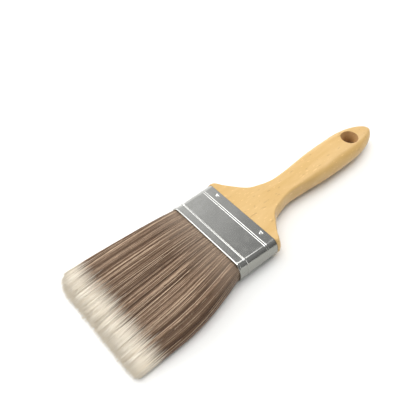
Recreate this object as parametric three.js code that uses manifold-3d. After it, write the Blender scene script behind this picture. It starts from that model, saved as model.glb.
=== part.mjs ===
// Flat paintbrush with a wooden beavertail handle, a plated sheet-steel ferrule and synthetic filaments.
//
// Millimetres. The brush lies on its flat side: +X runs along it towards the end of the handle,
// +Y runs across its width and z = 0 is the surface that it rests on. Inside this file x = 0 is the
// mouth of the ferrule, where the filaments come out, and y = 0 is the middle of the ferrule. The
// group at the end moves the whole brush so that its origin is the centre of its footprint.

import * as THREE from "three";
import { mergeVertices } from "three/addons/utils/BufferGeometryUtils.js";
import Module from "manifold-3d";

const wasm = await Module();
wasm.setup();

// ---------------------------------------------------------------- driving dimensions

const GAP = 0.3; // between pieces that touch

// ferrule: one band of sheet steel with flat faces and rounded narrow sides, deeper and a little
// narrower at the mouth than at the heel, where it grips the handle
const FERRULE_LENGTH = 36.2;
const MOUTH = { width: 75.4, thickness: 19.6, sideRadius: 12.5 };
const HEEL = { width: 76.8, thickness: 16.4, sideRadius: 9.6 };
const FERRULE_CORNER_RADIUS = 2.6;
const SHEET = 0.4;

// raised beads rolled into the band: the middle of each along X, its width and its height
const BEADS = [
  { at: 0.9, width: 1.8, height: 0.5 },
  { at: 7.6, width: 1.9, height: 0.5 },
  { at: 26.8, width: 1.4, height: 0.35 },
  { at: 28.3, width: 1.4, height: 0.35 },
];

// lap seam, where the ends of the band overlap on the narrow side that faces -Y
const LAP_START = THREE.MathUtils.degToRad(-4);
const LAP_END = THREE.MathUtils.degToRad(-38);
const LAP_INSET = 0.1; // from each end of the band

// stakes: three-sided pits punched through the flat faces into the wood, which hold the ferrule on
const STAKE_X = 32.8;
const STAKE_Y = 23.6;
const STAKE_RADIUS = 1.7;
const STAKE_DEPTH = 1.1;
const STAKE_WALL = 1.6; // a pit's slope makes its wall this much thicker along Z than the sheet

// handle: a tenon in the ferrule, shoulders as wide as the ferrule, a narrow neck and a full belly
const TENON_LENGTH = 9;
const HANDLE_END = 186.4;
const SHOULDER_SQUARENESS = 5.5;
const BELLY_SQUARENESS = 2.6;
const BELLY_X = 125;
const END_START_X = 148; // where the rounded end begins
const END_HALF_WIDTH = 14.5;
const END_HALF_THICKNESS = 8.4;
const NOSE_HALF_THICKNESS = 3;
const NOSE_POINTEDNESS = 1.22; // 1 would round the end into half an ellipse
const HOLE_X = 159.5;
const HOLE_WAIST_RADIUS = 4.5; // halfway through the handle
const HOLE_MOUTH_RADIUS = 7.9; // at either face
const HOLE_FLARE = 1.7; // 1 would open the hole out evenly, as a cone

// what holds the filaments inside the ferrule
const ROOT_START = 0.8;
const ROOT_END = 22;
const PLUG_START = 4;
const PLUG_END = 20;
const PLUG_THICKNESS = 2.2;
const PLUG_HALF_WIDTH = 30;
const BANK_SPLIT = 3; // half the thickness of the middle bank, and the middle of each plug

// exposed filaments: a pack that flares and thins to a chisel, rounded at its corners
const FILAMENT_LENGTH = 97;
const PACK_HALF_THICKNESS = MOUTH.thickness / 2 - SHEET - GAP;
const PACK_FULLNESS = 0.6; // how far the pack swells past its thickness at the mouth
const PACK_MOUTH_HALF_WIDTH = 36.3;
const PACK_TIP_HALF_WIDTH = 48.6;
const FAR_CORNER = { along: 13, across: 18 }; // on the +Y side of the tips
const NEAR_CORNER = { along: 5, across: 4 };
const TIP_HALF_THICKNESS = 2.4;
const TIP_DROOP = 6.5; // how far the tips hang below the middle of the ferrule
const TIP_LEAN = 0.9; // how far the tips lean towards +Y
const BANK_SPLIT_AT_TIP = 0.8;

// worked out from the driving dimensions
const MID_Z = MOUTH.thickness / 2 + BEADS[0].height;
const TIP_Z = MID_Z - TIP_DROOP;
// The filaments bend about this line. It lies far enough out of the ferrule for the rounded inner
// end of the pack to turn clear of the lip.
const HINGE_X = -(PACK_HALF_THICKNESS + GAP);

const RING_STEPS = 40;
const CURVE_STEPS = 12;

// ---------------------------------------------------------------- solids

function solidFrom(geometry) {
  const bare = geometry.clone();
  bare.deleteAttribute("normal");
  bare.deleteAttribute("uv");
  const merged = mergeVertices(bare);
  return new wasm.Manifold(
    new wasm.Mesh({
      numProp: 3,
      vertProperties: new Float32Array(merged.attributes.position.array),
      triVerts: new Uint32Array(merged.index.array),
    }),
  );
}

function geometryFrom(solid) {
  const mesh = solid.getMesh();
  const geometry = new THREE.BufferGeometry();
  geometry.setAttribute("position", new THREE.BufferAttribute(mesh.vertProperties, 3));
  geometry.setIndex(new THREE.BufferAttribute(mesh.triVerts, 1));
  geometry.computeVertexNormals();
  return geometry;
}

function centreOf(points) {
  const sum = points.reduce((total, point) => total.add(point), new THREE.Vector3());
  return sum.divideScalar(points.length);
}

// A closed body through rings of points, each ring turning from +Y towards +Z. An open row of rings
// runs along +X and is capped at both ends. A cycle joins its last ring to its first, as a band.
function loft(rings, cycle = false) {
  const count = rings[0].length;
  const points = rings.flat();
  const faces = [];
  const spans = cycle ? rings.length : rings.length - 1;
  for (let i = 0; i < spans; i += 1) {
    const near = i * count;
    const far = ((i + 1) % rings.length) * count;
    for (let j = 0; j < count; j += 1) {
      const next = (j + 1) % count;
      faces.push(near + j, near + next, far + j);
      faces.push(near + next, far + next, far + j);
    }
  }
  if (!cycle) {
    const last = (rings.length - 1) * count;
    const startCentre = points.push(centreOf(rings[0])) - 1;
    const endCentre = points.push(centreOf(rings.at(-1))) - 1;
    for (let j = 0; j < count; j += 1) {
      const next = (j + 1) % count;
      faces.push(startCentre, next, j);
      faces.push(endCentre, last + j, last + next);
    }
  }
  const geometry = new THREE.BufferGeometry().setFromPoints(points);
  geometry.setIndex(faces);
  return solidFrom(geometry);
}

// An outline in X and Y, made solid between two heights.
function extrudeUp(shape, low, high) {
  const options = { depth: high - low, bevelEnabled: false, curveSegments: CURVE_STEPS };
  const geometry = new THREE.ExtrudeGeometry(shape, options);
  geometry.translate(0, 0, low);
  return solidFrom(geometry);
}

// An outline in X and Z, made solid across the width of the brush.
function extrudeAcross(shape, halfWidth) {
  const options = { depth: 2 * halfWidth, bevelEnabled: false, curveSegments: CURVE_STEPS };
  const geometry = new THREE.ExtrudeGeometry(shape, options);
  geometry.rotateX(Math.PI / 2);
  geometry.translate(0, halfWidth, 0);
  return solidFrom(geometry);
}

// A block between two places along X, with its heights measured from the middle of the brush.
function block(x0, x1, halfWidth, low, high) {
  const geometry = new THREE.BoxGeometry(x1 - x0, 2 * halfWidth, high - low);
  geometry.translate((x0 + x1) / 2, 0, MID_Z + (low + high) / 2);
  return solidFrom(geometry);
}

// ---------------------------------------------------------------- cross-sections

function arc(y, z, radius, from, to, steps) {
  return Array.from({ length: steps + 1 }, (_, i) => {
    const angle = THREE.MathUtils.lerp(from, to, i / steps);
    return [y + radius * Math.cos(angle), z + radius * Math.sin(angle)];
  });
}

// The ferrule's size at a place along X. A narrow side is an arc about a centre at sideY.
function ferruleAt(x) {
  const along = (key) => THREE.MathUtils.mapLinear(x, 0, FERRULE_LENGTH, MOUTH[key], HEEL[key]);
  const halfThickness = along("thickness") / 2;
  const sideRadius = along("sideRadius");
  return { halfThickness, sideRadius, sideY: along("width") / 2 - sideRadius };
}

// The ferrule's cross-section, moved outwards by an offset: two flat faces, a tight arc at each
// corner and a wide arc on each narrow side, all meeting smoothly.
function ferruleRing(x, offset) {
  const { halfThickness, sideRadius, sideY } = ferruleAt(x);
  const cornerZ = halfThickness - FERRULE_CORNER_RADIUS;
  const reach = sideRadius - FERRULE_CORNER_RADIUS;
  const turn = Math.asin(cornerZ / reach);
  const cornerY = sideY + reach * Math.cos(turn);
  const side = arc(sideY, 0, sideRadius + offset, 0, turn, 5);
  const corner = arc(cornerY, cornerZ, FERRULE_CORNER_RADIUS + offset, turn, Math.PI / 2, 4);
  const quarter = [...side, ...corner.slice(1)];
  const upper = [...quarter, ...quarter.map(([y, z]) => [-y, z]).reverse()];
  const lower = upper.slice(1, -1).map(([y, z]) => [-y, -z]);
  return [...upper, ...lower].map(([y, z]) => new THREE.Vector3(x, y, MID_Z + z));
}

// A rounded cross-section: squareness 2 is an ellipse, and larger values square its corners.
function ovalRing(x, halfWidth, halfThickness, squareness) {
  const soften = (value) => Math.sign(value) * Math.abs(value) ** (2 / squareness);
  return Array.from({ length: RING_STEPS }, (_, i) => {
    const angle = (2 * Math.PI * i) / RING_STEPS;
    const y = halfWidth * soften(Math.cos(angle));
    const z = halfThickness * soften(Math.sin(angle));
    return new THREE.Vector3(x, y, MID_Z + z);
  });
}

// The space inside the ferrule between two places along X, clear of the sheet by the gap.
function ferruleInside(x0, x1) {
  const offset = -(SHEET + GAP);
  return loft([ferruleRing(x0, offset), ferruleRing(x1, offset)]);
}

// ---------------------------------------------------------------- ferrule

function beadHeight(x) {
  const heights = BEADS.map(({ at, width, height }) => {
    const along = THREE.MathUtils.clamp((2 * (x - at)) / width, -1, 1);
    return height * Math.cos((along * Math.PI) / 2) ** 2;
  });
  return Math.max(...heights);
}

function ferruleStations() {
  const beadStations = BEADS.flatMap(({ at, width }) =>
    [-0.5, -0.25, 0, 0.25, 0.5].map((part) => at + part * width),
  );
  return [0, ...beadStations.filter((x) => x > 0.01), FERRULE_LENGTH];
}

// Pyramids with their points this far below the outside of the flat faces, two on each face.
function stakePyramids(depth) {
  const above = 0.6;
  const height = depth + above;
  const radius = (STAKE_RADIUS * height) / STAKE_DEPTH;
  const places = [-1, 1].flatMap((side) => [-1, 1].map((face) => ({ side, face })));
  return places
    .map(({ side, face }) => {
      const pyramid = new THREE.ConeGeometry(radius, height, 3);
      pyramid.rotateX((-face * Math.PI) / 2);
      const z = MID_Z + face * (ferruleAt(STAKE_X).halfThickness - depth + height / 2);
      pyramid.translate(STAKE_X, side * STAKE_Y, z);
      return solidFrom(pyramid);
    })
    .reduce((all, pyramid) => all.add(pyramid));
}

function lapSeam() {
  const ring = (x) => {
    const { sideRadius, sideY } = ferruleAt(x);
    const inner = arc(sideY, 0, sideRadius - SHEET / 2, LAP_END, LAP_START, 4);
    const outer = arc(sideY, 0, sideRadius + SHEET, LAP_START, LAP_END, 4);
    return [...inner, ...outer].map(([y, z]) => new THREE.Vector3(x, -y, MID_Z + z));
  };
  return loft([ring(LAP_INSET), ring(FERRULE_LENGTH - LAP_INSET)]);
}

function makeFerrule() {
  const stations = ferruleStations();
  const outside = stations.map((x) => ferruleRing(x, beadHeight(x)));
  const inside = stations.map((x) => ferruleRing(x, beadHeight(x) - SHEET)).reverse();
  const band = loft([...outside, ...inside], true);
  const within = loft([ferruleRing(0, 0), ferruleRing(FERRULE_LENGTH, 0)]);
  const bumps = stakePyramids(STAKE_DEPTH + STAKE_WALL * SHEET).intersect(within);
  return band.add(lapSeam()).add(bumps).subtract(stakePyramids(STAKE_DEPTH));
}

// ---------------------------------------------------------------- handle

// x, half the width and half the thickness where the outline changes, up to the rounded end
const HANDLE_STATIONS = [
  [FERRULE_LENGTH + GAP, 39, 8.2],
  [38.8, 38.6, 8.2],
  [43, 32.4, 8.2],
  [50, 23.4, 8.1],
  [59, 15.5, 7.9],
  [70, 12.1, 7.7],
  [82, 10.8, 7.7],
  [96, 11.7, 8.0],
  [112, 13.5, 8.4],
  [130, 14.5, 8.6],
  [END_START_X, END_HALF_WIDTH, END_HALF_THICKNESS],
];

function handleSquareness(x) {
  const share = THREE.MathUtils.smoothstep(x, FERRULE_LENGTH, BELLY_X);
  return THREE.MathUtils.lerp(SHOULDER_SQUARENESS, BELLY_SQUARENESS, share);
}

function makeHandle() {
  const stations = HANDLE_STATIONS.map((station) => new THREE.Vector3(...station));
  const flank = new THREE.CatmullRomCurve3(stations).getPoints(36);
  const widest = THREE.MathUtils.degToRad(86);
  const end = Array.from({ length: 10 }, (_, i) => {
    const angle = (widest * (i + 1)) / 10;
    const x = END_START_X + ((HANDLE_END - END_START_X) * Math.sin(angle)) / Math.sin(widest);
    const fullness = Math.cos(angle);
    const thickness = THREE.MathUtils.lerp(NOSE_HALF_THICKNESS, END_HALF_THICKNESS, fullness);
    return new THREE.Vector3(x, END_HALF_WIDTH * fullness ** NOSE_POINTEDNESS, thickness);
  });
  const rings = [...flank, ...end].map(({ x, y, z }) => ovalRing(x, y, z, handleSquareness(x)));
  const tenon = ferruleInside(FERRULE_LENGTH - TENON_LENGTH, FERRULE_LENGTH + 1);
  return loft(rings)
    .add(tenon.subtract(stakePyramids(STAKE_DEPTH + STAKE_WALL * (SHEET + GAP))))
    .subtract(hangingHole());
}

// A round hole from face to face, narrowest halfway and opening out smoothly towards both faces.
function hangingHole() {
  const steps = 12;
  const beyond = 1.15; // how far the cutter reaches, in half thicknesses
  const outline = Array.from({ length: steps + 1 }, (_, i) => {
    const share = THREE.MathUtils.lerp(-beyond, beyond, i / steps);
    const opening = Math.abs(share) ** HOLE_FLARE;
    const radius = THREE.MathUtils.lerp(HOLE_WAIST_RADIUS, HOLE_MOUTH_RADIUS, opening);
    return new THREE.Vector2(radius, share * END_HALF_THICKNESS);
  });
  const axisPoint = ({ y }) => new THREE.Vector2(0, y);
  const profile = [axisPoint(outline[0]), ...outline, axisPoint(outline.at(-1))];
  const cutter = new THREE.LatheGeometry(profile, 28);
  cutter.rotateX(Math.PI / 2);
  cutter.translate(HOLE_X, 0, MID_Z);
  return solidFrom(cutter);
}

// ---------------------------------------------------------------- inside the ferrule

const PLUGS = {
  spacer_plug_upper: BANK_SPLIT,
  spacer_plug_lower: -BANK_SPLIT,
};

function makePlug(height) {
  const half = PLUG_THICKNESS / 2;
  return block(PLUG_START, PLUG_END, PLUG_HALF_WIDTH, height - half, height + half);
}

// The slots in the banks that take the plugs, and the resin behind them.
function plugSlots() {
  const half = PLUG_THICKNESS / 2 + GAP;
  const width = PLUG_HALF_WIDTH + GAP;
  return Object.values(PLUGS)
    .map((height) => block(PLUG_START - GAP, ROOT_END + 1, width, height - half, height + half))
    .reduce((all, slot) => all.add(slot));
}

function makeRootBank(low, high) {
  const slice = block(ROOT_START, ROOT_END, HEEL.width / 2, low, high);
  return ferruleInside(ROOT_START, ROOT_END).intersect(slice).subtract(plugSlots());
}

// A block behind the roots, with a tongue that reaches in between the banks behind each plug.
function makeResin() {
  const start = ROOT_END + GAP;
  const end = FERRULE_LENGTH - TENON_LENGTH - GAP;
  const half = PLUG_THICKNESS / 2;
  return Object.values(PLUGS).reduce(
    (resin, height) =>
      resin.add(block(PLUG_END + GAP, start + 1, PLUG_HALF_WIDTH, height - half, height + half)),
    ferruleInside(start, end),
  );
}

// ---------------------------------------------------------------- exposed filaments

// Seen from above: the far side flares evenly to the tips. The near side flares early and then runs
// along the brush.
function packPlan() {
  const tip = -FILAMENT_LENGTH;
  const inner = -GAP;
  const far = PACK_TIP_HALF_WIDTH + TIP_LEAN;
  const near = -PACK_TIP_HALF_WIDTH + TIP_LEAN;
  const shape = new THREE.Shape();
  shape.moveTo(tip, far - FAR_CORNER.across);
  shape.lineTo(tip, near + NEAR_CORNER.across);
  shape.quadraticCurveTo(tip, near, tip + NEAR_CORNER.along, near);
  shape.quadraticCurveTo(tip / 4, near, inner, -PACK_MOUTH_HALF_WIDTH);
  shape.lineTo(inner, PACK_MOUTH_HALF_WIDTH);
  shape.lineTo(tip + FAR_CORNER.along, far);
  shape.quadraticCurveTo(tip, far, tip, far - FAR_CORNER.across);
  return shape;
}

// Seen from the side: a round inner end about the hinge line, then a taper to the chisel tip.
function packProfile() {
  const tip = -FILAMENT_LENGTH;
  const swell = PACK_HALF_THICKNESS + PACK_FULLNESS;
  const reach = FILAMENT_LENGTH / 3;
  const shape = new THREE.Shape();
  shape.absarc(HINGE_X, MID_Z, PACK_HALF_THICKNESS, -Math.PI / 2, Math.PI / 2);
  const flank = (side) => [
    [HINGE_X - reach, MID_Z + side * swell],
    [tip + reach, TIP_Z + side * (TIP_HALF_THICKNESS + PACK_HALF_THICKNESS / 2)],
    [tip, TIP_Z + side * TIP_HALF_THICKNESS],
  ];
  shape.bezierCurveTo(...flank(1).flat());
  const [nearMouth, nearTip, tipEdge] = flank(-1);
  shape.lineTo(...tipEdge);
  shape.bezierCurveTo(...nearTip, ...nearMouth, HINGE_X, MID_Z - PACK_HALF_THICKNESS);
  return shape;
}

// The part of the pack between two slanting planes, each given by its heights above the middle of
// the pack at the mouth and at the tips.
function makeBank(lowAtMouth, lowAtTip, highAtMouth, highAtTip) {
  const tip = -FILAMENT_LENGTH;
  const layer = new THREE.Shape();
  layer.moveTo(tip, TIP_Z + lowAtTip);
  layer.lineTo(0, MID_Z + lowAtMouth);
  layer.lineTo(0, MID_Z + highAtMouth);
  layer.lineTo(tip, TIP_Z + highAtTip);
  const halfWidth = PACK_TIP_HALF_WIDTH + TIP_LEAN;
  const pack = extrudeAcross(packProfile(), halfWidth);
  const plan = extrudeUp(packPlan(), 0, 2 * MID_Z);
  return pack.intersect(plan).intersect(extrudeAcross(layer, halfWidth));
}

// ---------------------------------------------------------------- assembly

const MATERIALS = {
  wood: new THREE.MeshStandardMaterial({ color: 0xefcb8b, roughness: 0.5 }),
  plated: new THREE.MeshStandardMaterial({ color: 0xc4c5c1, roughness: 0.18, metalness: 1 }),
  resin: new THREE.MeshStandardMaterial({ color: 0x8d7a4e, roughness: 0.3 }),
  plug: new THREE.MeshStandardMaterial({ color: 0xc9ae82, roughness: 0.8 }),
  filament: new THREE.MeshStandardMaterial({ color: 0x8b7360, roughness: 0.55 }),
};

const brush = new THREE.Group();

function addPiece(name, solid, material) {
  const mesh = new THREE.Mesh(geometryFrom(solid), MATERIALS[material]);
  mesh.name = name;
  brush.add(mesh);
}

addPiece("handle", makeHandle(), "wood");
addPiece("ferrule", makeFerrule(), "plated");
addPiece("setting_resin", makeResin(), "resin");
Object.entries(PLUGS).forEach(([name, height]) => addPiece(name, makePlug(height), "plug"));

const FACE = MOUTH.thickness / 2; // outside the inner faces of the ferrule, which trim the banks
const UNDER = BANK_SPLIT - GAP / 2;
const OVER = BANK_SPLIT + GAP / 2;
addPiece("root_bank_top", makeRootBank(OVER, FACE), "filament");
addPiece("root_bank_middle", makeRootBank(-UNDER, UNDER), "filament");
addPiece("root_bank_bottom", makeRootBank(-FACE, -OVER), "filament");

const TIP_UNDER = BANK_SPLIT_AT_TIP - GAP / 2;
const TIP_OVER = BANK_SPLIT_AT_TIP + GAP / 2;
const PAST = 2 * FACE;
addPiece("filament_bank_top", makeBank(OVER, TIP_OVER, PAST, PAST), "filament");
addPiece("filament_bank_middle", makeBank(-UNDER, -TIP_UNDER, UNDER, TIP_UNDER), "filament");
addPiece("filament_bank_bottom", makeBank(-PAST, -PAST, -OVER, -TIP_OVER), "filament");

brush.position.set((FILAMENT_LENGTH - HANDLE_END) / 2, -TIP_LEAN, 0);

export default brush;
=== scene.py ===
"""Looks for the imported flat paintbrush: a beavertail handle of clear-sealed pale wood, a ferrule of
plated sheet steel and a pack of streaked brown filaments with cream tips.

Shapes are worked out in brush millimetres: x = 0 is the mouth of the ferrule and +x runs towards the
end of the handle, y = 0 and z = 0 are the middle of the brush. place() moves them into the row frame,
in metres, and sets the ferrule's end of the brush a little to one side.
"""

import math

import bpy
import numpy as np
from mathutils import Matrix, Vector


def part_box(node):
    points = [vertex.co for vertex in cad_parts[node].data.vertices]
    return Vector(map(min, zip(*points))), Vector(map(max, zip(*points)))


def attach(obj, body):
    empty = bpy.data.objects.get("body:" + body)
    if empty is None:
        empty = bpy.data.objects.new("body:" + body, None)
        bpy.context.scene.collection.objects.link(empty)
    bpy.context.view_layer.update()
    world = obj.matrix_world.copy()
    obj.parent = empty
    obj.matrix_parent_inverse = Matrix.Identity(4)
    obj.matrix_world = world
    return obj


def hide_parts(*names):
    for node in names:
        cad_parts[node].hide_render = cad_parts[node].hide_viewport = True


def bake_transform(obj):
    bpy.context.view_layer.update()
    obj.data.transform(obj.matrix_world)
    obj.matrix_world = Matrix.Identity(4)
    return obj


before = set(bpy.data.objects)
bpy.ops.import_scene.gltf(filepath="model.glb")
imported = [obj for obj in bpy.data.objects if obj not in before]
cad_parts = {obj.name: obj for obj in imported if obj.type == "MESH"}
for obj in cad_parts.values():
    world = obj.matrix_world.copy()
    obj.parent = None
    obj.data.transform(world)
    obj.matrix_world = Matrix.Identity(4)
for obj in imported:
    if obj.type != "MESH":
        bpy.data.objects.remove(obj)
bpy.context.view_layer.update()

# ---------------------------------------------------------------- dimensions, in millimetres

MM = 0.001
FERRULE_LENGTH = 36.2
MOUTH = {"half_width": 37.7, "half_thickness": 9.8, "side_radius": 12.5}
HEEL = {"half_width": 38.4, "half_thickness": 8.2, "side_radius": 9.6}
FERRULE_CORNER_RADIUS = 3.4
OFF_AXIS = 0.6  # how far the ferrule, with the shoulder and pack, sits to the +y side of the handle
OFF_AXIS_FADE = (44, 72)  # where along the handle that offset dies away
SHEET = 0.4
SHEET_MARGIN = 0.05  # how much further in the hidden back of the sheet is
TENON_GAP = 0.3

LIP_WIDTH = 2.3
LIP_HEIGHT = 0.5
# middle along x, width and height of each bead
BEADS = [(7.6, 2.0, 0.42), (26.7, 0.9, 0.12), (28.3, 0.9, 0.12)]
STAKE_X = 32.8
STAKE_Y = 23.6
STAKE_INNER_RADIUS = 1.0
STAKE_DEPTH = 0.7
PAINTED_SIDE_SHADE = (34.5, 36.5)  # how far to each side the painted shade on the narrow sides starts and ends: the plating is painted darker there for their darker reflections
SEAM_PART = 0.8  # share of the way from the middle of the narrow side to its lower corner
SEAM_HEIGHT = 0.4
SEAM_RISE = 0.3  # share of that way over which the lap swells in
SEAM_GROOVE = 0.25  # depth of the line just past the lap's edge

# the handle's outline and section, each as (x, value) stations from the shoulder to the rounded end
SHOULDER_X = 36.35
TENON_X = 27.2
HALF_WIDTHS = [
    (36.35, 39.0), (38.4, 38.9), (40.5, 36.8), (43, 32.4), (46.5, 27.6), (50, 23.4), (53, 19.9),
    (56.5, 16.9), (60, 15.1), (64, 13.8), (71, 11.8), (78, 10.8), (86, 10.9), (96, 11.7), (106, 12.9),
    (118, 14.0), (130, 14.5), (148, 14.5),
]
HALF_THICKNESSES = [(36.35, 8.25), (54, 8.1), (75, 7.8), (96, 8.0), (115, 8.4), (135, 8.6), (148, 8.4)]
SIDE_RADII = [(36.35, 10.2), (42, 13), (60, 16), (88, 15), (108, 11.5), (130, 9.4), (148, 9.2)]
CORNER_RADII = [(36.35, 1.2), (60, 1.5), (82, 2), (104, 4), (125, 6.3), (148, 7.2)]
CROWNS = [(36.35, 0), (60, 0.1), (84, 0.4), (108, 0.9), (130, 1.2), (148, 1.2)]
CLOSE_RINGS = (37.2, 62, 0.6)  # start, end and spacing of rings on the curved shoulder
WIDE_RING_SPACING = 1.2  # from there to the rounded end
END_START_X = 148
HANDLE_END = 186.4
POINTEDNESS = 1.22
NOSE_SHARE = 0.12  # thickness left at the very end, as a share of the thickness where the end starts
NOSE_RINGS = 32
EDGE_BREAK = 0.35

HOLE_X = 159.5
HOLE_WAIST_RADIUS = 4.5
HOLE_MOUTH_RADIUS = 7.9
HOLE_MOUTH_Z = 8.3
HOLE_FLARE = 1.7  # 1 would open the hole out evenly, as a cone
CUTTER_REACH = 1.12  # how far the cutter runs past the mouths, as a share of HOLE_MOUTH_Z

# the pack of filaments
FILAMENT_LENGTH = 96.5
ROOT_INSIDE = 4.0  # how far the strands start inside the ferrule
PACK_MOUTH_HALF_WIDTH = 36.3
PACK_MOUTH_HALF_THICKNESS = 9.05
FLARE_FAR = 14.5  # how much further out the far (+y) side of the pack is at the tips
FLARE_NEAR = 11.4
NEAR_FLARE_END = 0.62  # the near side is parallel to the brush from this share of the length on
FAR_CORNER = {"along": 13.0, "across": 18.0}
NEAR_CORNER = {"along": 5.0, "across": 4.0}
TIP_HALF_THICKNESS = 2.5
TIP_TAPER = 2.6  # 1 would thin the pack evenly along its length
TIP_DROOP = 6.6
DROOP_CURVE = 1.15
SWELL = 0.5  # how far the flat faces swell just outside the ferrule
SWELL_END = 1 / 2.6
MOUTH_SQUARENESS = 5.5  # 2 is an ellipse, and more is squarer
TIP_SQUARENESS = 3.2
FLOOR_CLEARANCE = 0.4

# the filaments; shares are of FILAMENT_LENGTH
TIP_BAND = 80.5 / FILAMENT_LENGTH  # where the brown gives way to cream
ROOT_SHARE = ROOT_INSIDE / FILAMENT_LENGTH
BEND_SHARE = 0.4  # the part that bends when the joint turns
SURFACE_STRANDS = 6900
SURFACE_DEPTH = 1.5  # how far under the surface the innermost of these strands lie
SHORTER_INSIDE = 0.012  # how much shorter the innermost strands are
STRAY_SHARE = 0.07
LOCKS = 6
TIP_STRANDS = 3000
TIP_STRAND_START = 0.74
TIP_STRAND_SPREAD = 0.28  # how fast they spread sideways towards the tips
TIP_STRAND_DEPTH = 0.8
TIP_STRAND_MARGIN = 1.0  # how far in from the pack's sides they end
STRAND_RADIUS = 0.18
STRAND_TAPER = 0.7  # share of its radius that a strand loses towards its tip
STRAND_DRIFT = 0.15  # sideways, at the tips
STRAY_DRIFT = 0.8
WAVER = 0.05
TUBE_SIDES = 4  # so that the ends of a tube are quads too
CLUMP_WIDTH = 0.95
CLUMP_GATHER = 0.15  # share by which a clump narrows towards its tip
CLUMP_DRIFT = 0.12
GROOVE_DEPTH = 0.24  # of the grooves between clumps
GROOVE_SHARPNESS = 2.2
GROOVE_FADE = 0.7  # share of a groove's depth that is lost towards the tips
CORE_DEPTH = 1.3
CORE_GROOVE_DEPTH = 0.3
CORE_END = 0.86

# the light from the sky: two values of how near a direction is to overhead, or of how far it looks
# towards +y, then the light at each of them
OVERHEAD = (-0.02, 0.04, 1)
PATCH_LIGHT = (0.845, 0.90, 0.0, 3.2)
ROOM_LIGHT = (0.38, 0.60, 0.25, 0.94)

# lamps and camera: angles in degrees, the lens and LOOK_AT in millimetres, and the rest in metres
LAMP_DISTANCE = 0.9
LAMP_SIZE = 0.4
CAMERA_AZIMUTH = -41.2
CAMERA_ELEVATION = 50.6
CAMERA_DISTANCE = 0.4196
CAMERA_LENS = 47.14
LOOK_AT = (23.78, 22.21, 0)
FLOOR_REACH = 3.0

ferrule_low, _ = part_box("ferrule")
handle_low, handle_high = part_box("handle")
ORIGIN = Vector((ferrule_low.x, (handle_low.y + handle_high.y) / 2, (handle_low.z + handle_high.z) / 2))
FLOOR = -ORIGIN.z / MM  # the surface that the brush lies on
LOOK_POINT = ORIGIN + MM * Vector(LOOK_AT)

random = np.random.default_rng(75)


# ---------------------------------------------------------------- mesh helpers


def place(points):
    """Brush millimetres to metres in the row frame, with the ferrule's end moved to one side."""
    points = np.array(points, float)
    points[..., 1] += OFF_AXIS * (1 - smoothstep(*OFF_AXIS_FADE, points[..., 0]))
    return points * MM + np.array(ORIGIN)


def make_object(name, points, faces, material, smooth_angle=None):
    """A smooth-shaded object, with edges sharper than smooth_angle kept sharp if that is given."""
    mesh = bpy.data.meshes.new(name)
    mesh.from_pydata(place(points), [], faces)
    mesh.update()
    mesh.materials.append(material)
    mesh.shade_smooth()
    if smooth_angle is not None:
        mesh.set_sharp_from_angle(angle=math.radians(smooth_angle))
    thing = bpy.data.objects.new(name, mesh)
    bpy.context.scene.collection.objects.link(thing)
    return thing


def ring_faces(rows, columns, first=0):
    """Quads that join rings of points, each ring closed on itself."""
    row, column = np.meshgrid(np.arange(rows - 1), np.arange(columns), indexing="ij")
    near = row * columns + column
    beside = row * columns + (column + 1) % columns
    quads = np.stack([near, beside, beside + columns, near + columns], axis=-1)
    return quads.reshape(-1, 4) + first


def loft(rings):
    """Points and faces of a closed body through rings, capped at both ends. Seen from its last ring,
    the points of a ring go round anticlockwise."""
    rows, columns, _ = rings.shape
    middles = [rings[0].mean(axis=0), rings[-1].mean(axis=0)]
    points = np.concatenate([rings.reshape(-1, 3), middles])
    faces = ring_faces(rows, columns).tolist()
    start, end = rows * columns, rows * columns + 1
    last = (rows - 1) * columns
    for i in range(columns):
        following = (i + 1) % columns
        faces.append((start, following, i))
        faces.append((end, last + i, last + following))
    return points, faces


def smooth_through(stations, x):
    """A smooth curve through (x, value) stations."""
    xs, values = np.array(stations, float).T
    slopes = np.gradient(values, xs)
    x = np.clip(x, xs[0], xs[-1])
    i = np.clip(np.searchsorted(xs, x) - 1, 0, len(xs) - 2)
    span = xs[i + 1] - xs[i]
    t = (x - xs[i]) / span
    return (
        values[i] * (1 + 2 * t) * (1 - t) ** 2
        + slopes[i] * span * t * (1 - t) ** 2
        + values[i + 1] * (3 - 2 * t) * t**2
        + slopes[i + 1] * span * (t - 1) * t**2
    )


def smoothstep(low, high, value):
    t = np.clip((value - low) / (high - low), 0, 1)
    return t * t * (3 - 2 * t)


# ---------------------------------------------------------------- sections


def arc(y, z, radius, start, stop, steps):
    angles = np.linspace(start, stop, steps + 1)
    return np.stack([y + radius * np.cos(angles), z + radius * np.sin(angles)], axis=1)


def band_section(half_width, half_thickness, side_radius, corner_radius, steps, offset=0.0, crown=0.0):
    """(y, z) points round a flat-topped outline with bowed sides, turning from +y towards +z.

    steps gives how many there are on a side, a corner and half a flat, in one quarter.
    """
    side_steps, corner_steps, flat_steps = steps
    corner_z = half_thickness - corner_radius
    reach = side_radius - corner_radius
    turn = math.asin(corner_z / reach)
    side_y = half_width - side_radius
    corner_y = side_y + reach * math.cos(turn)
    side = arc(side_y, 0, side_radius + offset, 0, turn, side_steps)
    corner = arc(corner_y, corner_z, corner_radius + offset, turn, math.pi / 2, corner_steps)
    flat_y = np.linspace(corner_y, 0, flat_steps + 1)
    flat = np.stack([flat_y, np.full_like(flat_y, half_thickness + offset)], axis=1)
    quarter = np.concatenate([side, corner[1:], flat[1:]])
    quarter[:, 1] *= 1 - crown / half_thickness * (quarter[:, 0] / half_width) ** 2
    mirrored = quarter[::-1] * (-1, 1)
    return np.concatenate([quarter[:-1], mirrored[:-1], -quarter[:-1], -mirrored[:-1]])


def at_x(x, section):
    return np.column_stack([np.full(len(section), x), section])


# ---------------------------------------------------------------- material helpers


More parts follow.
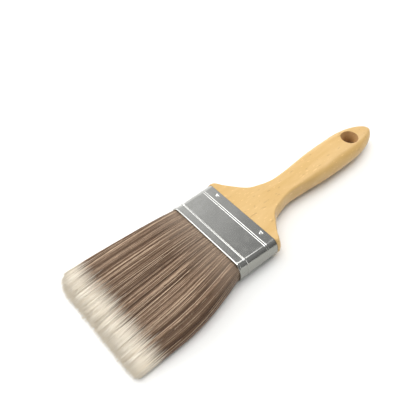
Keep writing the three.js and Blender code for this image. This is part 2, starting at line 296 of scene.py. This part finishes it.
class Nodes:
    """The node tree of a material or the world, with short ways to add and join nodes."""

    def __init__(self, owner, shader="Principled BSDF"):
        owner.use_nodes = True
        self.owner = owner
        self.tree = owner.node_tree
        self.shader = self.tree.nodes[shader]

    def add(self, kind, settings=None, **inputs):
        node = self.tree.nodes.new(kind)
        for key, value in (settings or {}).items():
            setattr(node, key, value)
        for key, value in inputs.items():
            self.feed(node, key.replace("_", " "), value)
        return node

    def feed(self, node, socket, value):
        target = node.inputs[socket]
        if isinstance(value, bpy.types.NodeSocket):
            self.tree.links.new(value, target)
        else:
            target.default_value = value

    def shade(self, **inputs):
        for key, value in inputs.items():
            self.feed(self.shader, key.replace("_", " "), value)

    def coordinates(self, stretch):
        """Object coordinates in millimetres, divided along each axis by stretch."""
        where = self.add("ShaderNodeTexCoord").outputs["Object"]
        scale = tuple(1 / (MM * s) for s in stretch)
        return self.add("ShaderNodeMapping", Vector=where, Scale=scale).outputs["Vector"]

    def noise(self, stretch, detail=2.0, roughness=0.5, distortion=0.0):
        node = self.add(
            "ShaderNodeTexNoise",
            Vector=self.coordinates(stretch),
            Scale=1.0,
            Detail=detail,
            Roughness=roughness,
            Distortion=distortion,
        )
        return node.outputs["Fac"]

    def ramp(self, value, *stops):
        """Colours or grey levels between (position, colour) stops."""
        node = self.add("ShaderNodeValToRGB", Fac=value)
        elements = node.color_ramp.elements
        while len(elements) < len(stops):
            elements.new(0.5)
        for element, (position, colour) in zip(elements, stops):
            element.position = position
            grey = isinstance(colour, (int, float))
            element.color = (colour, colour, colour, 1) if grey else (*colour, 1)
        return node.outputs["Color"]

    def mix(self, amount, a, b):
        node = self.tree.nodes.new("ShaderNodeMix")
        node.data_type = "RGBA"
        # a colour mix has its amount at input 0, its colours at 6 and 7 and its result at output 2
        for index, value in ((0, amount), (6, a), (7, b)):
            if isinstance(value, bpy.types.NodeSocket):
                self.tree.links.new(value, node.inputs[index])
            elif index == 0:
                node.inputs[index].default_value = value
            else:
                node.inputs[index].default_value = (*value, 1)
        return node.outputs[2]

    def maths(self, operation, a, b=0.0, clamp=False):
        node = self.add("ShaderNodeMath", {"operation": operation, "use_clamp": clamp})
        self.feed(node, 0, a)
        self.feed(node, 1, b)
        return node.outputs[0]

    def span(self, value, low, high, to_low=0.0, to_high=1.0):
        node = self.add("ShaderNodeMapRange", Value=value)
        for socket, number in zip(("From Min", "From Max", "To Min", "To Max"), (low, high, to_low, to_high)):
            self.feed(node, socket, number)
        return node.outputs["Result"]

    def bump(self, height, depth, normal=None):
        node = self.add("ShaderNodeBump", Height=height, Distance=depth * MM, Strength=1.0)
        if normal is not None:
            self.feed(node, "Normal", normal)
        return node.outputs["Normal"]


# ---------------------------------------------------------------- materials


def new_material(name):
    return Nodes(bpy.data.materials.new(name))


def wood_material(name, light, dark, fleck, roughness, coat=0.0):
    """Fine short-grained hardwood, its fibres along the brush, with scattered dark flecks and pale ticks."""
    n = new_material(name)
    tone = n.noise((30, 7, 7), detail=3, distortion=0.6)
    fibre = n.noise((7, 0.5, 0.5), detail=3, roughness=0.6)
    flecks = n.noise((5.5, 1.5, 1.9), detail=0)
    ticks = n.noise((3.6, 0.8, 0.9), detail=0, distortion=0.3)
    base = n.mix(n.span(tone, 0.3, 0.7), light, dark)
    base = n.mix(n.span(fibre, 0.35, 0.75, 0.0, 0.4), base, dark)
    base = n.mix(n.span(flecks, 0.735, 0.79, 0.0, 0.34), base, fleck)
    pale = tuple(c * 1.2 + 0.05 for c in light)
    base = n.mix(n.span(ticks, 0.75, 0.80, 0.0, 0.6), base, pale)
    n.shade(
        Base_Color=base,
        Roughness=n.span(fibre, 0.3, 0.7, roughness - 0.05, roughness + 0.07),
        Normal=n.bump(fibre, 0.035),
        Coat_Weight=coat,
        Coat_Roughness=0.28,
    )
    return n.owner


def plated_material():
    """Plated sheet steel with soft mottled reflections, fine rolling lines and a slightly wavy face. Its
    narrow sides are painted darker, as painted shade for their darker reflections."""
    n = new_material("plated_steel")
    waves = n.noise((16, 20, 16), detail=1)
    mottle = n.noise((5, 5, 5), detail=3)
    rolling = n.noise((0.35, 30, 8), detail=2)
    base = n.mix(n.span(mottle, 0.35, 0.7), (0.64, 0.64, 0.62), (0.58, 0.58, 0.555))
    where = n.add("ShaderNodeSeparateXYZ", Vector=n.coordinates((1, 1, 1)))
    sideways = n.maths("ABSOLUTE", n.maths("SUBTRACT", where.outputs["Y"], ORIGIN.y / MM + OFF_AXIS))
    # painted shade: the base colour turns darker on the narrow sides, in place of the darker reflections
    # there
    base = n.mix(n.span(sideways, *PAINTED_SIDE_SHADE), base, (0.30, 0.30, 0.275))
    normal = n.bump(waves, 0.16)
    normal = n.bump(rolling, 0.0016, normal)
    n.shade(Base_Color=base, Metallic=1.0, Roughness=n.span(mottle, 0.3, 0.7, 0.12, 0.2), Normal=normal)
    return n.owner


def filament_material():
    """Streaked synthetic filament. Each strand carries its tone, its place along the pack and where its
    own colour gives way to the cream tip."""
    n = new_material("filament")
    strand = n.add("ShaderNodeAttribute", {"attribute_name": "strand"})
    parts = n.add("ShaderNodeSeparateColor", Color=strand.outputs["Color"])
    tone, along, change = (parts.outputs[i] for i in ("Red", "Green", "Blue"))
    streak = n.noise((40, 0.7, 0.7), detail=2)
    tone = n.maths("ADD", tone, n.span(streak, 0.3, 0.7, -0.1, 0.1), clamp=True)
    brown = n.ramp(
        tone,
        (0.0, (0.050, 0.026, 0.013)),
        (0.35, (0.115, 0.065, 0.036)),
        (0.65, (0.205, 0.123, 0.074)),
        (1.0, (0.560, 0.410, 0.285)),
    )
    cream = n.ramp(tone, (0.0, (0.84, 0.75, 0.61)), (1.0, (0.92, 0.86, 0.75)))
    into_tip = n.span(n.maths("SUBTRACT", along, change), -0.07, 0.045)
    brown = n.mix(n.span(along, 0.0, 0.3, 0.42, 0.0), brown, (0.38, 0.30, 0.23))
    base = n.mix(into_tip, brown, cream)
    n.shade(Base_Color=base, Roughness=n.span(streak, 0.3, 0.7, 0.42, 0.6), Specular_IOR_Level=0.35)
    return n.owner


def resin_material():
    n = new_material("setting_resin")
    cloud = n.noise((6, 6, 6), detail=3)
    base = n.mix(n.span(cloud, 0.3, 0.7), (0.34, 0.24, 0.09), (0.22, 0.14, 0.05))
    n.shade(Base_Color=base, Roughness=n.span(cloud, 0.3, 0.7, 0.2, 0.4), Normal=n.bump(cloud, 0.2))
    return n.owner


def floor_material():
    n = new_material("pale_floor")
    grain = n.noise((40, 40, 40), detail=2)
    base = n.mix(grain, (0.90, 0.90, 0.89), (0.88, 0.88, 0.87))
    n.shade(Base_Color=base, Roughness=0.9, Specular_IOR_Level=0.1)
    return n.owner


SEALED_WOOD = wood_material(
    "sealed_wood",
    light=(0.67, 0.445, 0.185),
    dark=(0.60, 0.375, 0.125),
    fleck=(0.28, 0.13, 0.035),
    roughness=0.42,
    coat=0.22,
)
# The hole's wall is darker than the sealed faces: partly its own bare end grain, partly painted shade for the
# inside of the hole.
BORE_WOOD = wood_material(
    "bore_wood", light=(0.50, 0.29, 0.12), dark=(0.40, 0.22, 0.08), fleck=(0.24, 0.12, 0.04), roughness=0.6
)
PLUG_WOOD = wood_material(
    "plug_wood", light=(0.60, 0.43, 0.24), dark=(0.52, 0.36, 0.19), fleck=(0.36, 0.23, 0.11), roughness=0.75
)
PLATED = plated_material()
FILAMENT = filament_material()
RESIN = resin_material()

# ---------------------------------------------------------------- handle

HANDLE_STEPS = (10, 9, 12)  # points on a side, a corner and half a flat


def handle_section(x, offset=0.0):
    return band_section(
        smooth_through(HALF_WIDTHS, x),
        smooth_through(HALF_THICKNESSES, x),
        smooth_through(SIDE_RADII, x),
        smooth_through(CORNER_RADII, x),
        HANDLE_STEPS,
        offset,
        smooth_through(CROWNS, x),
    )


def ferrule_section(x, steps, offset=0.0):
    """The ferrule's section at x, between that of its mouth and that of its heel."""
    share = x / FERRULE_LENGTH
    size = {key: at_mouth + (HEEL[key] - at_mouth) * share for key, at_mouth in MOUTH.items()}
    return band_section(**size, corner_radius=FERRULE_CORNER_RADIUS, steps=steps, offset=offset)


def handle_rings():
    """Rings along the handle: the tenon, the shoulder with its broken edge, the grip and the nose."""
    inside_sheet = -(SHEET + TENON_GAP)
    rings = [at_x(x, ferrule_section(x, HANDLE_STEPS, inside_sheet)) for x in (TENON_X, SHOULDER_X)]
    for share in np.linspace(0, 1, 5):
        inset = EDGE_BREAK * (math.sqrt(1 - (1 - share) ** 2) - 1)
        rings.append(at_x(SHOULDER_X + EDGE_BREAK * share, handle_section(SHOULDER_X, inset)))
    close = np.arange(*CLOSE_RINGS)
    wide = np.arange(CLOSE_RINGS[1], END_START_X, WIDE_RING_SPACING)
    rings += [at_x(x, handle_section(x)) for x in np.concatenate([close, wide])]
    full = handle_section(END_START_X)
    for angle in np.radians(np.linspace(0, 88.5, NOSE_RINGS)):
        x = END_START_X + (HANDLE_END - END_START_X) * math.sin(angle)
        thickness = NOSE_SHARE + (1 - NOSE_SHARE) * math.cos(angle)
        rings.append(at_x(x, full * (math.cos(angle) ** POINTEDNESS, thickness)))
    return np.array(rings)


def hole_cutter():
    """A round plug, narrowest halfway, that leaves a hole countersunk from both faces."""
    share = np.linspace(-CUTTER_REACH, CUTTER_REACH, 29)
    radii = HOLE_WAIST_RADIUS + (HOLE_MOUTH_RADIUS - HOLE_WAIST_RADIUS) * np.abs(share) ** HOLE_FLARE
    turns = np.linspace(0, 2 * math.pi, 72, endpoint=False)
    rings = np.empty((len(share), len(turns), 3))
    rings[..., 0] = HOLE_X + radii[:, None] * np.cos(turns)
    rings[..., 1] = radii[:, None] * np.sin(turns)
    rings[..., 2] = HOLE_MOUTH_Z * share[:, None]
    points, faces = loft(rings)
    return make_object("hole_cutter", points, faces, BORE_WOOD)


def make_handle():
    points, faces = loft(handle_rings())
    handle = make_object("beavertail_handle", points, faces, SEALED_WOOD)
    cutter = hole_cutter()
    cut = handle.modifiers.new("hanging_hole", "BOOLEAN")
    cut.operation = "DIFFERENCE"
    cut.solver = "EXACT"
    cut.material_mode = "TRANSFER"
    cut.object = cutter
    depsgraph = bpy.context.evaluated_depsgraph_get()
    shaped = bpy.data.meshes.new_from_object(handle.evaluated_get(depsgraph))
    handle.modifiers.clear()
    handle.data = shaped
    shaped.shade_smooth()
    shaped.set_sharp_from_angle(angle=math.radians(40))
    bpy.data.objects.remove(cutter)
    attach(handle, "brush_body")
    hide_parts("handle")


# ---------------------------------------------------------------- ferrule

FERRULE_STEPS = (24, 10, 70)  # points on a side, a corner and half a flat


def sheet_profile(x):
    """How far the sheet stands out at a place along the ferrule: a rolled lip and beads."""
    lip = LIP_HEIGHT * math.sqrt(max(0.0, 1 - (2 * x / LIP_WIDTH - 1) ** 2))
    heights = [lip]
    for middle, width, height in BEADS:
        along = min(1.0, abs(2 * (x - middle) / width))
        heights.append(height * math.cos(along * math.pi / 2) ** 2)
    return max(heights)


def ferrule_stations():
    """Places along the ferrule, close together on the lip, the beads and the stakes."""
    fine = [np.linspace(0, LIP_WIDTH, 14), np.linspace(STAKE_X - 2, STAKE_X + 2, 17)]
    fine += [np.linspace(middle - width / 2, middle + width / 2, 13) for middle, width, _ in BEADS]
    coarse = np.linspace(0, FERRULE_LENGTH, 40)
    return np.unique(np.round(np.concatenate([coarse, *fine]), 3))


def press_stakes(points):
    """Pushes three-sided pits into the flat faces, two on each face."""
    u = points[:, 0] - STAKE_X
    v = np.abs(points[:, 1]) - STAKE_Y
    edges = [u * math.cos(a) + v * math.sin(a) for a in np.radians((0, 120, 240))]
    depth = STAKE_DEPTH * np.clip(1 - np.max(edges, axis=0) / STAKE_INNER_RADIUS, 0, 1)
    points[:, 2] -= np.sign(points[:, 2]) * depth


def seam_offsets():
    """The overlap of the band's ends on the narrow side that faces -y, as an extra height for each
    point of a section: it swells in gently and ends in a step."""
    side_steps, corner_steps, flat_steps = FERRULE_STEPS
    quarter = side_steps + corner_steps + flat_steps
    offsets = np.zeros(4 * quarter)
    seam = int(SEAM_PART * side_steps)
    share = np.linspace(0, 1, seam + 1)
    start = 2 * quarter
    offsets[start : start + seam + 1] = SEAM_HEIGHT * smoothstep(0, SEAM_RISE, share)
    offsets[start + seam + 1] = -SEAM_GROOVE
    return offsets


def ferrule_outside():
    """Rings of the ferrule's outer face, with its lip, beads, seam and stakes."""
    seam = seam_offsets()
    rings = []
    for x in ferrule_stations():
        height = sheet_profile(x)
        section = ferrule_section(x, FERRULE_STEPS, height)
        outward = ferrule_section(x, FERRULE_STEPS, height + 1) - section
        rings.append(at_x(x, section + outward * seam[:, None]))
    rings = np.array(rings)
    press_stakes(rings.reshape(-1, 3))
    return rings


def make_ferrule():
    back = -SHEET - SHEET_MARGIN
    outside = ferrule_outside()
    inside = [at_x(x, ferrule_section(x, FERRULE_STEPS, back)) for x in np.linspace(FERRULE_LENGTH, 0, 16)]
    rings = np.concatenate([outside, inside, outside[:1]])
    rows, columns, _ = rings.shape
    points = rings[:-1].reshape(-1, 3)
    faces = ring_faces(rows, columns) % len(points)
    ferrule = make_object("ferrule_band", points, faces.tolist(), PLATED, smooth_angle=50)
    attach(ferrule, "brush_body")
    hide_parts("ferrule")


# ---------------------------------------------------------------- filaments


def squared_direction(angle):
    """A direction round the section, for angles that crowd towards its corners."""
    across, up = np.cos(angle), np.sin(angle)
    return np.sign(across) * np.sqrt(np.abs(across)), np.sign(up) * np.sqrt(np.abs(up))


def pack_point(t, angle, inset):
    """A point on the pack's surface, t of the way from the mouth to the tips, at an angle round the
    section from +y towards +z, and moved inwards by inset."""
    out = np.clip(t, 0, None)
    far = PACK_MOUTH_HALF_WIDTH + FLARE_FAR * out
    near = PACK_MOUTH_HALF_WIDTH + FLARE_NEAR * out
    half_width = (far + near) / 2 - inset
    thickness_lost = (PACK_MOUTH_HALF_THICKNESS - TIP_HALF_THICKNESS) * out**TIP_TAPER
    swell = SWELL * np.sin(np.clip(out / SWELL_END, 0, 1) * math.pi)
    half_thickness = PACK_MOUTH_HALF_THICKNESS + swell - thickness_lost - inset
    squareness = MOUTH_SQUARENESS + (TIP_SQUARENESS - MOUTH_SQUARENESS) * np.clip(out, 0, 1)
    across, up = squared_direction(angle)
    reach = (np.abs(across) ** squareness + np.abs(up) ** squareness) ** (1 / squareness)
    y = (far - near) / 2 + half_width * across / reach
    bulge = FLARE_NEAR * (np.sin(np.clip(out / NEAR_FLARE_END, 0, 1) * math.pi / 2) - out)
    nearness = np.clip((1 - across / reach) / 2, 0, 1)
    y = y - bulge * nearness**3
    z = -TIP_DROOP * out**DROOP_CURVE + half_thickness * up / reach
    return y, np.maximum(z, FLOOR + FLOOR_CLEARANCE + 0.25 * inset)


def corner_loss(distance_to_edge, corner):
    """How much shorter strands are in a rounded corner, by their distance from the pack's side."""
    into = np.clip(1 - distance_to_edge / corner["across"], 0, 1)
    return corner["along"] * (1 - np.sqrt(1 - into**2))


def strand_length(y_at_tip):
    """Share of the full length that a strand has, shorter in the rounded corners of the tips."""
    far_edge = PACK_MOUTH_HALF_WIDTH + FLARE_FAR
    near_edge = PACK_MOUTH_HALF_WIDTH + FLARE_NEAR
    lost = corner_loss(far_edge - y_at_tip, FAR_CORNER) + corner_loss(near_edge + y_at_tip, NEAR_CORNER)
    return 1 - lost / FILAMENT_LENGTH


def perimeter_angles():
    """Angles round the pack's section halfway along it, and the length of its outline up to each."""
    angle = np.linspace(0, 2 * math.pi, 4001)
    y, z = pack_point(0.5, angle, 0)
    run = np.concatenate([[0], np.cumsum(np.hypot(np.diff(y), np.diff(z)))])
    return angle, run


OUTLINE_ANGLES, OUTLINE_RUN = perimeter_angles()
OUTLINE = OUTLINE_RUN[-1]


def angle_at(run):
    """The angle round the section at a distance run along the outline."""
    return np.interp(run % OUTLINE, OUTLINE_RUN, OUTLINE_ANGLES)


def make_clumps():
    """Where clumps of filaments start round the outline, and each one's tone and sideways drift."""
    widths = CLUMP_WIDTH * random.uniform(0.35, 1.7, 1200)
    edges = np.concatenate([[0], np.cumsum(widths)])
    edges = edges[edges < OUTLINE - CLUMP_WIDTH / 2]
    edges = np.append(edges, OUTLINE)
    count = len(edges) - 1
    tones = random.normal(0, 1, count)
    # less the average of seven neighbours, so that no broad patch is lighter or darker than the rest
    nearby = np.convolve(np.concatenate([tones[-3:], tones, tones[:3]]), np.full(7, 1 / 7), "valid")
    return edges, tones - nearby, random.normal(0, CLUMP_DRIFT, count)


CLUMP_EDGES, CLUMP_TONES, CLUMP_DRIFTS = make_clumps()


def clump_at(run):
    """The clump at a place on the outline, that clump's middle, and how far across it the place is,
    from -1 to 1."""
    clump = np.searchsorted(CLUMP_EDGES, run, side="right") - 1
    low, high = CLUMP_EDGES[clump], CLUMP_EDGES[clump + 1]
    middle = (low + high) / 2
    return clump, middle, 2 * (run - middle) / (high - low)


def set_strand_values(piece, values):
    """Stores what the filament material reads at each point: tone, place along the pack, and where the
    cream starts."""
    attribute = piece.data.attributes.new("strand", "FLOAT_COLOR", "POINT")
    attribute.data.foreach_set("color", values.ravel())


def make_tubes(name, paths, radii, colours):
    """One mesh of many thin tubes. paths is (strands, stations, 3); radii is (strands, stations)."""
    sides = TUBE_SIDES
    count, stations, _ = paths.shape
    forward = np.gradient(paths, axis=1)
    forward /= np.linalg.norm(forward, axis=2, keepdims=True)
    across = np.cross(forward, (0.0, 0.0, 1.0))
    across /= np.linalg.norm(across, axis=2, keepdims=True)
    upward = np.cross(across, forward)
    turns = np.linspace(0, 2 * math.pi, sides, endpoint=False) + math.pi / 4
    offsets = across[:, :, None] * np.cos(turns)[:, None] + upward[:, :, None] * np.sin(turns)[:, None]
    points = paths[:, :, None] + offsets * radii[:, :, None, None]
    quads = ring_faces(stations, sides)[:, ::-1]
    ends = np.array([np.arange(sides), np.arange(sides)[::-1] + (stations - 1) * sides])
    per_strand = np.concatenate([quads, ends])
    starts = np.arange(count) * stations * sides
    faces = (per_strand[None] + starts[:, None, None]).reshape(-1, 4)
    tubes = make_object(name, points.reshape(-1, 3), faces.tolist(), FILAMENT)
    values = np.ones((count, stations, sides, 4), np.float32)
    values[..., :3] = colours[:, :, None]
    set_strand_values(tubes, values)
    return tubes


def strand_colours(tone, t, change):
    """The three strand values at each station, from a tone and a change to cream for each strand."""
    colours = np.empty((*t.shape, 3))
    colours[..., 0] = np.clip(tone, 0, 1)[:, None]
    colours[..., 1] = t
    colours[..., 2] = change[:, None]
    return colours


def bend_with_filaments(piece, *nodes):
    """Bakes a piece's placing into its mesh, and lets it stand for CAD nodes by hiding them."""
    start = place((0, 0, 0))
    end = place((-BEND_SHARE * FILAMENT_LENGTH, 0, 0))
    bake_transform(piece)
    if nodes:
        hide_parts(*nodes)


def places_round(t, run, stray):
    """Where strands are on the outline at each station: gathered into clumps, and drifting sideways."""
    count = len(run)
    out = np.clip(t, 0, None)
    clump, middle, _ = clump_at(run)
    gather = 1 - CLUMP_GATHER * out
    drift = CLUMP_DRIFTS[clump] * random.uniform(0.8, 1.2, count)
    drift = drift + random.normal(0, STRAND_DRIFT, count) + stray * random.normal(0, STRAY_DRIFT, count)
    waver = random.uniform(0, WAVER, count)[:, None] * np.sin(
        out * random.uniform(3, 9, count)[:, None] + random.uniform(0, 6, count)[:, None]
    )
    return middle[:, None] + (run - middle)[:, None] * gather + drift[:, None] * out + waver * out


def strand_insets(t, run, depth, stray):
    """How far under the pack's surface strands are: deeper in the grooves, and above it if stray."""
    _, _, across = clump_at(run)
    groove = (GROOVE_DEPTH * np.abs(across) ** GROOVE_SHARPNESS)[:, None]
    grooved = smoothstep(-0.05, 0.35, t) * (1 - GROOVE_FADE * smoothstep(0.7, 0.9, t))
    lift = (stray * random.uniform(0.3, 0.7, len(run)))[:, None]
    inset = depth[:, None] + groove * grooved - lift * smoothstep(0.05, 0.5, t)
    return np.maximum(inset, 0.25 * (1 - smoothstep(-0.02, 0.08, t)))


def surface_strands(count, stations=15):
    """Places on the outline, paths, radii and colours of the strands on the outside of the pack."""
    run = np.sort(random.uniform(0, OUTLINE, count))
    inwards = random.uniform(0, 1, count) ** 1.3
    depth = inwards * SURFACE_DEPTH
    stray = random.uniform(0, 1, count) < STRAY_SHARE
    y_tip, _ = pack_point(1.0, angle_at(run), 0)
    length = strand_length(y_tip) * (1 + random.normal(0, 0.012, count)) - SHORTER_INSIDE * inwards
    t = -ROOT_SHARE + np.linspace(0, 1, stations) * (length + ROOT_SHARE)[:, None]
    round_angle = angle_at(places_round(t, run, stray))
    y, z = pack_point(t, round_angle, strand_insets(t, run, depth, stray))
    paths = np.stack([-t * FILAMENT_LENGTH, y, z], axis=-1)
    taper = 1 - STRAND_TAPER * smoothstep(0.6, 1.02, t)
    radii = STRAND_RADIUS * (random.uniform(0.8, 1.25, count) + 0.5 * stray)[:, None] * taper
    clump_tone = CLUMP_TONES[clump_at(run)[0]]
    # painted shade: the deeper a strand lies in the pack, the darker its tone
    tone_and_depth_shade = 0.2 * random.normal(0, 1, count) + 0.32 * stray - 0.15 * inwards
    tone = 0.42 + 0.135 * clump_tone + tone_and_depth_shade
    change = TIP_BAND + 0.01 * clump_tone + random.normal(0, 0.025, count)
    return run, paths, radii, strand_colours(tone, t, change)


def make_surface_locks():
    """The outside of the pack, in locks side by side round the outline."""
    run, paths, radii, colours = surface_strands(SURFACE_STRANDS)
    lock = np.minimum((run / OUTLINE * LOCKS).astype(int), LOCKS - 1)
    # together the locks replace the outer banks, which the first two name
    stands_for = {
        0: ("filament_bank_top", "root_bank_top"),
        1: ("filament_bank_bottom", "root_bank_bottom"),
    }
    for i in range(LOCKS):
        chosen = lock == i
        tubes = make_tubes(f"filament_lock_{i + 1}", paths[chosen], radii[chosen], colours[chosen])
        bend_with_filaments(tubes, *stands_for.get(i, ()))


def make_tip_filling(count, stations=7):
    """Short visible ends of the filaments inside the pack, which fill the chisel of the tips."""
    half_width = PACK_MOUTH_HALF_WIDTH + (FLARE_FAR + FLARE_NEAR) / 2
    lateral = random.uniform(-1, 1, count)
    level = random.uniform(-1, 1, count)
    y_tip = (FLARE_FAR - FLARE_NEAR) / 2 + lateral * (half_width - TIP_STRAND_MARGIN)
    length = strand_length(y_tip) * (1 + random.normal(0, 0.008, count)) - SHORTER_INSIDE * (1 - level**2)
    t = TIP_STRAND_START + np.linspace(0, 1, stations) * (length - TIP_STRAND_START)[:, None]
    _, z_top = pack_point(t, math.pi / 2, TIP_STRAND_DEPTH)
    _, z_bottom = pack_point(t, -math.pi / 2, TIP_STRAND_DEPTH)
    share = (1 + level[:, None] * np.sqrt(1 - np.abs(lateral[:, None]) ** 3)) / 2
    z = z_bottom + (z_top - z_bottom) * share
    squeeze = 1 - (1 - t) * TIP_STRAND_SPREAD
    paths = np.stack([-t * FILAMENT_LENGTH, y_tip[:, None] * squeeze, z], axis=-1)
    taper = 1 - STRAND_TAPER * smoothstep(0.75, 1.02, t)
    radii = STRAND_RADIUS * random.uniform(0.8, 1.2, count)[:, None] * taper
    tone = 0.5 + 0.2 * random.normal(0, 1, count)
    change = TIP_BAND + random.normal(0, 0.02, count)
    tubes = make_tubes("filament_tips", paths, radii, strand_colours(tone, t, change))
    bend_with_filaments(tubes)


def make_core():
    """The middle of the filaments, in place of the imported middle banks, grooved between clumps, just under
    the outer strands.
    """
    columns, rows = 720, 60
    run = np.linspace(0, OUTLINE, columns, endpoint=False)
    clump, _, across = clump_at(run)
    t = np.linspace(CORE_END, -ROOT_SHARE, rows)
    groove = CORE_GROOVE_DEPTH * np.abs(across)[None] ** GROOVE_SHARPNESS
    inset = CORE_DEPTH + groove * smoothstep(0, 0.35, t)[:, None]
    y, z = pack_point(t[:, None], angle_at(run)[None], inset)
    rings = np.stack([np.broadcast_to(-t[:, None] * FILAMENT_LENGTH, y.shape), y, z], axis=-1)
    points, faces = loft(rings)
    core = make_object("filament_core", points, faces, FILAMENT)
    # painted shade: the core gets a darker tone than the outer strands, for the shade deep between them
    tone = np.broadcast_to(0.18 + 0.08 * CLUMP_TONES[clump], (rows, columns))
    values = np.ones((len(points), 4), np.float32)
    # the last two points, the hidden middles of the end caps, keep their ones
    values[:-2, 0] = np.clip(tone, 0, 1).ravel()
    values[:-2, 1] = np.repeat(t, columns)
    values[:, 2] = TIP_BAND
    set_strand_values(core, values)
    bend_with_filaments(core, "filament_bank_middle", "root_bank_middle")


# ---------------------------------------------------------------- what stays from the CAD


def finish_inner_nodes():
    """Looks for the CAD nodes that stay, hidden in the ferrule."""
    looks = {"setting_resin": RESIN, "spacer_plug_upper": PLUG_WOOD, "spacer_plug_lower": PLUG_WOOD}
    for name, material in looks.items():
        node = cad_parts[name]
        node.data.materials.clear()
        node.data.materials.append(material)


# ---------------------------------------------------------------- floor, light and camera


def make_floor():
    reach = FLOOR_REACH
    corners = [(-reach, -reach, 0), (reach, -reach, 0), (reach, reach, 0), (-reach, reach, 0)]
    mesh = bpy.data.meshes.new("floor")
    mesh.from_pydata(corners, [], [(0, 1, 2, 3)])
    mesh.materials.append(floor_material())
    floor = bpy.data.objects.new("floor", mesh)
    bpy.context.scene.collection.objects.link(floor)


def make_sky():
    """Plain soft light: a broad bright patch overhead, and dimmer light that fades towards -y."""
    world = bpy.data.worlds.new("studio")
    bpy.context.scene.world = world
    n = Nodes(world, "Background")
    where = n.add("ShaderNodeTexCoord").outputs["Generated"]
    closeness = n.add("ShaderNodeVectorMath", {"operation": "DOT_PRODUCT"})
    n.feed(closeness, 0, where)
    n.feed(closeness, 1, Vector(OVERHEAD).normalized())
    sideways = n.add("ShaderNodeSeparateXYZ", Vector=where).outputs["Y"]
    patch = n.span(closeness.outputs["Value"], *PATCH_LIGHT)
    room = n.span(sideways, *ROOM_LIGHT)
    n.shade(Color=(1, 1, 0.99, 1), Strength=n.maths("ADD", patch, room))


def make_lamp(name, direction, power):
    """A round soft lamp that shines at the point that the camera looks at."""
    light = bpy.data.lights.new(name, "AREA")
    light.shape = "DISK"
    light.size = LAMP_SIZE
    light.energy = power
    lamp = bpy.data.objects.new(name, light)
    bpy.context.scene.collection.objects.link(lamp)
    way = Vector(direction).normalized()
    lamp.location = LOOK_POINT + way * LAMP_DISTANCE
    lamp.rotation_euler = way.to_track_quat("Z", "Y").to_euler()


def make_camera():
    azimuth = math.radians(CAMERA_AZIMUTH)
    elevation = math.radians(CAMERA_ELEVATION)
    back = Vector((
        math.sin(azimuth) * math.cos(elevation),
        -math.cos(azimuth) * math.cos(elevation),
        math.sin(elevation),
    ))
    data = bpy.data.cameras.new("camera")
    data.lens = CAMERA_LENS
    data.sensor_width = 36
    camera = bpy.data.objects.new("camera", data)
    bpy.context.scene.collection.objects.link(camera)
    camera.location = LOOK_POINT + back * CAMERA_DISTANCE
    camera.rotation_euler = back.to_track_quat("Z", "Y").to_euler()
    bpy.context.scene.camera = camera


make_camera()
make_floor()
make_sky()
make_lamp("key", (-0.3, 0.8, 0.7), power=2.0)
make_lamp("end_light", (0.9, 0.1, 0.6), power=1.25)
make_handle()
make_ferrule()
make_core()
make_surface_locks()
make_tip_filling(TIP_STRANDS)
finish_inner_nodes()
bpy.context.scene.view_settings.view_transform = "Standard"
